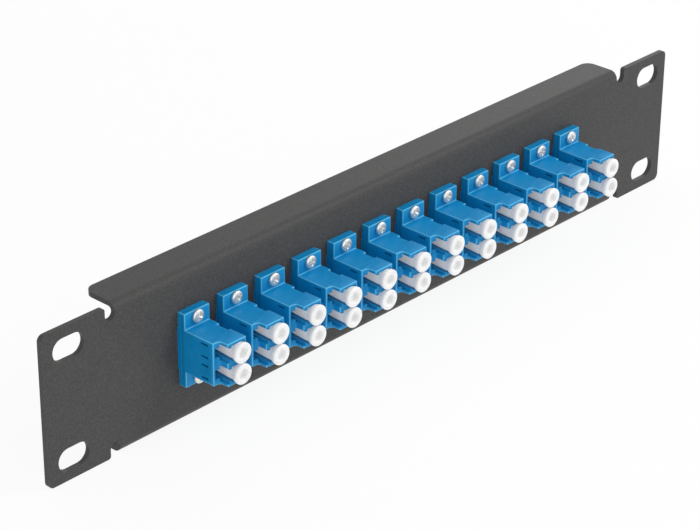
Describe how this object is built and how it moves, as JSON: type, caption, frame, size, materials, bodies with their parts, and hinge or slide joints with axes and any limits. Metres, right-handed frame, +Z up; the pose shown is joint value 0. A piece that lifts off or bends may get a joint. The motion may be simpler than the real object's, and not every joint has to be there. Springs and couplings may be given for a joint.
{
  "type": "fibre patch panel",
  "caption": "Folded ten-inch rack panel, one unit high, with a row of upright LC duplex fibre adapters and pull-off dust caps.",
  "frame": {"origin": "centre of the four rack slots, on the back face of the ears, which meets the rack rails", "axes": "+X to the right seen from the front, +Y to the back of the rack, +Z up"},
  "size_m": [0.254, 0.0316, 0.044],
  "materials": {
    "panel_sheet": "fine textured powder coat, satin",
    "housing_plastic": "moulded, fine matt",
    "cap_plastic": "soft moulded, slightly translucent",
    "screw_steel": "bright nickel plate"
  },
  "bodies": {
    "frame": {"panel": "panel_sheet", "flange_screws": "screw_steel", "front_housing_01": "housing_plastic", "rear_housing_01": "housing_plastic", "front_housing_02": "housing_plastic", "rear_housing_02": "housing_plastic", "front_housing_03": "housing_plastic", "rear_housing_03": "housing_plastic", "front_housing_04": "housing_plastic", "rear_housing_04": "housing_plastic", "front_housing_05": "housing_plastic", "rear_housing_05": "housing_plastic", "front_housing_06": "housing_plastic", "rear_housing_06": "housing_plastic", "front_housing_07": "housing_plastic", "rear_housing_07": "housing_plastic", "front_housing_08": "housing_plastic", "rear_housing_08": "housing_plastic", "front_housing_09": "housing_plastic", "rear_housing_09": "housing_plastic", "front_housing_10": "housing_plastic", "rear_housing_10": "housing_plastic", "front_housing_11": "housing_plastic", "rear_housing_11": "housing_plastic", "front_housing_12": "housing_plastic", "rear_housing_12": "housing_plastic"},
    "cap_01_upper": {"dust_cap_01_upper": "cap_plastic"},
    "cap_01_lower": {"dust_cap_01_lower": "cap_plastic"},
    "cap_02_upper": {"dust_cap_02_upper": "cap_plastic"},
    "cap_02_lower": {"dust_cap_02_lower": "cap_plastic"},
    "cap_03_upper": {"dust_cap_03_upper": "cap_plastic"},
    "cap_03_lower": {"dust_cap_03_lower": "cap_plastic"},
    "cap_04_upper": {"dust_cap_04_upper": "cap_plastic"},
    "cap_04_lower": {"dust_cap_04_lower": "cap_plastic"},
    "cap_05_upper": {"dust_cap_05_upper": "cap_plastic"},
    "cap_05_lower": {"dust_cap_05_lower": "cap_plastic"},
    "cap_06_upper": {"dust_cap_06_upper": "cap_plastic"},
    "cap_06_lower": {"dust_cap_06_lower": "cap_plastic"},
    "cap_07_upper": {"dust_cap_07_upper": "cap_plastic"},
    "cap_07_lower": {"dust_cap_07_lower": "cap_plastic"},
    "cap_08_upper": {"dust_cap_08_upper": "cap_plastic"},
    "cap_08_lower": {"dust_cap_08_lower": "cap_plastic"},
    "cap_09_upper": {"dust_cap_09_upper": "cap_plastic"},
    "cap_09_lower": {"dust_cap_09_lower": "cap_plastic"},
    "cap_10_upper": {"dust_cap_10_upper": "cap_plastic"},
    "cap_10_lower": {"dust_cap_10_lower": "cap_plastic"},
    "cap_11_upper": {"dust_cap_11_upper": "cap_plastic"},
    "cap_11_lower": {"dust_cap_11_lower": "cap_plastic"},
    "cap_12_upper": {"dust_cap_12_upper": "cap_plastic"},
    "cap_12_lower": {"dust_cap_12_lower": "cap_plastic"}
  },
  "joints": [
    {"name": "cap_01_upper_pull", "type": "slide", "parent": "frame", "child": "cap_01_upper", "axis": [0, -1, 0], "range_m": [0, 0.02]},
    {"name": "cap_01_lower_pull", "type": "slide", "parent": "frame", "child": "cap_01_lower", "axis": [0, -1, 0], "range_m": [0, 0.02]},
    {"name": "cap_02_upper_pull", "type": "slide", "parent": "frame", "child": "cap_02_upper", "axis": [0, -1, 0], "range_m": [0, 0.02]},
    {"name": "cap_02_lower_pull", "type": "slide", "parent": "frame", "child": "cap_02_lower", "axis": [0, -1, 0], "range_m": [0, 0.02]},
    {"name": "cap_03_upper_pull", "type": "slide", "parent": "frame", "child": "cap_03_upper", "axis": [0, -1, 0], "range_m": [0, 0.02]},
    {"name": "cap_03_lower_pull", "type": "slide", "parent": "frame", "child": "cap_03_lower", "axis": [0, -1, 0], "range_m": [0, 0.02]},
    {"name": "cap_04_upper_pull", "type": "slide", "parent": "frame", "child": "cap_04_upper", "axis": [0, -1, 0], "range_m": [0, 0.02]},
    {"name": "cap_04_lower_pull", "type": "slide", "parent": "frame", "child": "cap_04_lower", "axis": [0, -1, 0], "range_m": [0, 0.02]},
    {"name": "cap_05_upper_pull", "type": "slide", "parent": "frame", "child": "cap_05_upper", "axis": [0, -1, 0], "range_m": [0, 0.02]},
    {"name": "cap_05_lower_pull", "type": "slide", "parent": "frame", "child": "cap_05_lower", "axis": [0, -1, 0], "range_m": [0, 0.02]},
    {"name": "cap_06_upper_pull", "type": "slide", "parent": "frame", "child": "cap_06_upper", "axis": [0, -1, 0], "range_m": [0, 0.02]},
    {"name": "cap_06_lower_pull", "type": "slide", "parent": "frame", "child": "cap_06_lower", "axis": [0, -1, 0], "range_m": [0, 0.02]},
    {"name": "cap_07_upper_pull", "type": "slide", "parent": "frame", "child": "cap_07_upper", "axis": [0, -1, 0], "range_m": [0, 0.02]},
    {"name": "cap_07_lower_pull", "type": "slide", "parent": "frame", "child": "cap_07_lower", "axis": [0, -1, 0], "range_m": [0, 0.02]},
    {"name": "cap_08_upper_pull", "type": "slide", "parent": "frame", "child": "cap_08_upper", "axis": [0, -1, 0], "range_m": [0, 0.02]},
    {"name": "cap_08_lower_pull", "type": "slide", "parent": "frame", "child": "cap_08_lower", "axis": [0, -1, 0], "range_m": [0, 0.02]},
    {"name": "cap_09_upper_pull", "type": "slide", "parent": "frame", "child": "cap_09_upper", "axis": [0, -1, 0], "range_m": [0, 0.02]},
    {"name": "cap_09_lower_pull", "type": "slide", "parent": "frame", "child": "cap_09_lower", "axis": [0, -1, 0], "range_m": [0, 0.02]},
    {"name": "cap_10_upper_pull", "type": "slide", "parent": "frame", "child": "cap_10_upper", "axis": [0, -1, 0], "range_m": [0, 0.02]},
    {"name": "cap_10_lower_pull", "type": "slide", "parent": "frame", "child": "cap_10_lower", "axis": [0, -1, 0], "range_m": [0, 0.02]},
    {"name": "cap_11_upper_pull", "type": "slide", "parent": "frame", "child": "cap_11_upper", "axis": [0, -1, 0], "range_m": [0, 0.02]},
    {"name": "cap_11_lower_pull", "type": "slide", "parent": "frame", "child": "cap_11_lower", "axis": [0, -1, 0], "range_m": [0, 0.02]},
    {"name": "cap_12_upper_pull", "type": "slide", "parent": "frame", "child": "cap_12_upper", "axis": [0, -1, 0], "range_m": [0, 0.02]},
    {"name": "cap_12_lower_pull", "type": "slide", "parent": "frame", "child": "cap_12_lower", "axis": [0, -1, 0], "range_m": [0, 0.02]}
  ]
}
